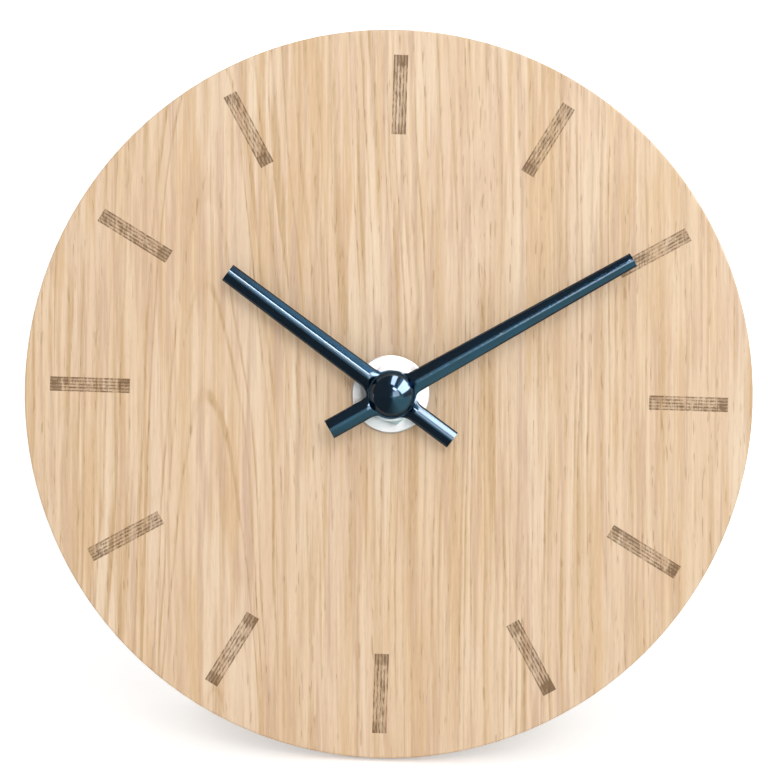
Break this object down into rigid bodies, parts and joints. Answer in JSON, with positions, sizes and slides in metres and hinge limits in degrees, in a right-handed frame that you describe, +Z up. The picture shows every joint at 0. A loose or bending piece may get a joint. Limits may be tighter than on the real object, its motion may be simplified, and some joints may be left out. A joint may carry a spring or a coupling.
{
  "type": "desk clock",
  "caption": "Round wooden desk clock with hour marks, two half-round hands on a clamped battery movement, and a bent sheet stand.",
  "frame": {"origin": "on the desk, below the middle of the clock: centre of the bounding box's bottom face", "axes": "+Z up, -Y out of the dial's front, +X to the right as seen from the front; the dial leans back 12 degrees"},
  "size_m": [0.15, 0.0498, 0.1474],
  "materials": {
    "oak_dial": "satin oak veneer",
    "stand_steel": "matt black powder coat",
    "gasket_rubber": "matt black rubber",
    "bright_steel": "bright nickel plate",
    "brass": "turned brass",
    "hand_enamel": "gloss dark blue lacquer",
    "case_plastic": "fine spark-textured black plastic",
    "plate_plastic": "moulded natural plastic",
    "wheel_plastic": "moulded white plastic",
    "knob_plastic": "satin dark plastic",
    "magnet": "ground magnet",
    "motor_iron": "plain pressed iron",
    "copper_winding": "enamelled copper wire",
    "circuit_laminate": "green laminate",
    "chip_resin": "black resin",
    "contact_steel": "plated spring steel",
    "battery_jacket": "plain printed sleeve over steel"
  },
  "bodies": {
    "case": {"dial_disc": "oak_dial", "stand_bracket": "stand_steel", "rubber_gasket": "gasket_rubber", "dial_washer": "bright_steel", "dial_nut": "bright_steel", "threaded_bushing": "brass", "front_case": "case_plastic", "rear_cover": "case_plastic", "middle_plate": "plate_plastic", "train_bridge": "plate_plastic", "stator": "motor_iron", "coil_core": "motor_iron", "coil_bobbin": "plate_plastic", "coil_winding": "copper_winding", "circuit_board": "circuit_laminate", "driver_chip": "chip_resin", "quartz_crystal": "bright_steel", "positive_contact": "contact_steel", "negative_contact": "contact_steel"},
    "minute_hand": {"minute_hand": "hand_enamel", "minute_collet": "brass", "hand_cap": "hand_enamel", "minute_arbor": "brass"},
    "hour_hand": {"hour_hand": "hand_enamel", "hour_collet": "brass", "hour_wheel": "wheel_plastic"},
    "motion_wheel": {"motion_wheel": "wheel_plastic", "set_knob": "knob_plastic"},
    "seconds_wheel": {"seconds_wheel": "wheel_plastic", "seconds_arbor": "bright_steel"},
    "third_wheel": {"third_wheel": "wheel_plastic"},
    "centre_wheel": {"centre_wheel": "wheel_plastic"},
    "fifth_wheel": {"fifth_wheel": "wheel_plastic"},
    "rotor": {"rotor_pinion": "wheel_plastic", "rotor_magnet": "magnet"},
    "battery": {"battery": "battery_jacket"}
  },
  "joints": [
    {"name": "minute_hand_turn", "type": "hinge", "parent": "case", "child": "minute_hand", "pos_m": [0, -0.00549, 0.07329], "axis": [0, 0.9781, -0.2079], "continuous": true},
    {"name": "hour_hand_turn", "type": "hinge", "parent": "case", "child": "hour_hand", "pos_m": [0, -0.00549, 0.07329], "axis": [0, 0.9781, -0.2079], "continuous": true},
    {"name": "motion_wheel_turn", "type": "hinge", "parent": "case", "child": "motion_wheel", "pos_m": [0, -0.00341, 0.08307], "axis": [0, 0.9781, -0.2079], "continuous": true},
    {"name": "seconds_wheel_turn", "type": "hinge", "parent": "case", "child": "seconds_wheel", "pos_m": [0, -0.00549, 0.07329], "axis": [0, 0.9781, -0.2079], "continuous": true},
    {"name": "third_wheel_turn", "type": "hinge", "parent": "case", "child": "third_wheel", "pos_m": [0.00677, -0.006, 0.07088], "axis": [0, 0.9781, -0.2079], "continuous": true},
    {"name": "centre_wheel_turn", "type": "hinge", "parent": "case", "child": "centre_wheel", "pos_m": [0, -0.00549, 0.07329], "axis": [0, 0.9781, -0.2079], "continuous": true},
    {"name": "fifth_wheel_turn", "type": "hinge", "parent": "case", "child": "fifth_wheel", "pos_m": [-0.00624, -0.00474, 0.07681], "axis": [0, 0.9781, -0.2079], "continuous": true},
    {"name": "rotor_turn", "type": "hinge", "parent": "case", "child": "rotor", "pos_m": [-0.01324, -0.00474, 0.07681], "axis": [0, 0.9781, -0.2079], "continuous": true},
    {"name": "battery_slide", "type": "slide", "parent": "case", "child": "battery", "axis": [0, 0.9781, -0.2079], "range_m": [0, 0.016]}
  ],
  "couplings": [
    {"joint": "hour_hand_turn", "follows": "minute_hand_turn", "ratio": 0.083333},
    {"joint": "motion_wheel_turn", "follows": "minute_hand_turn", "ratio": -0.33333},
    {"joint": "third_wheel_turn", "follows": "seconds_wheel_turn", "ratio": -0.125},
    {"joint": "centre_wheel_turn", "follows": "seconds_wheel_turn", "ratio": 0.016667},
    {"joint": "fifth_wheel_turn", "follows": "seconds_wheel_turn", "ratio": -5},
    {"joint": "rotor_turn", "follows": "seconds_wheel_turn", "ratio": 30}
  ]
}
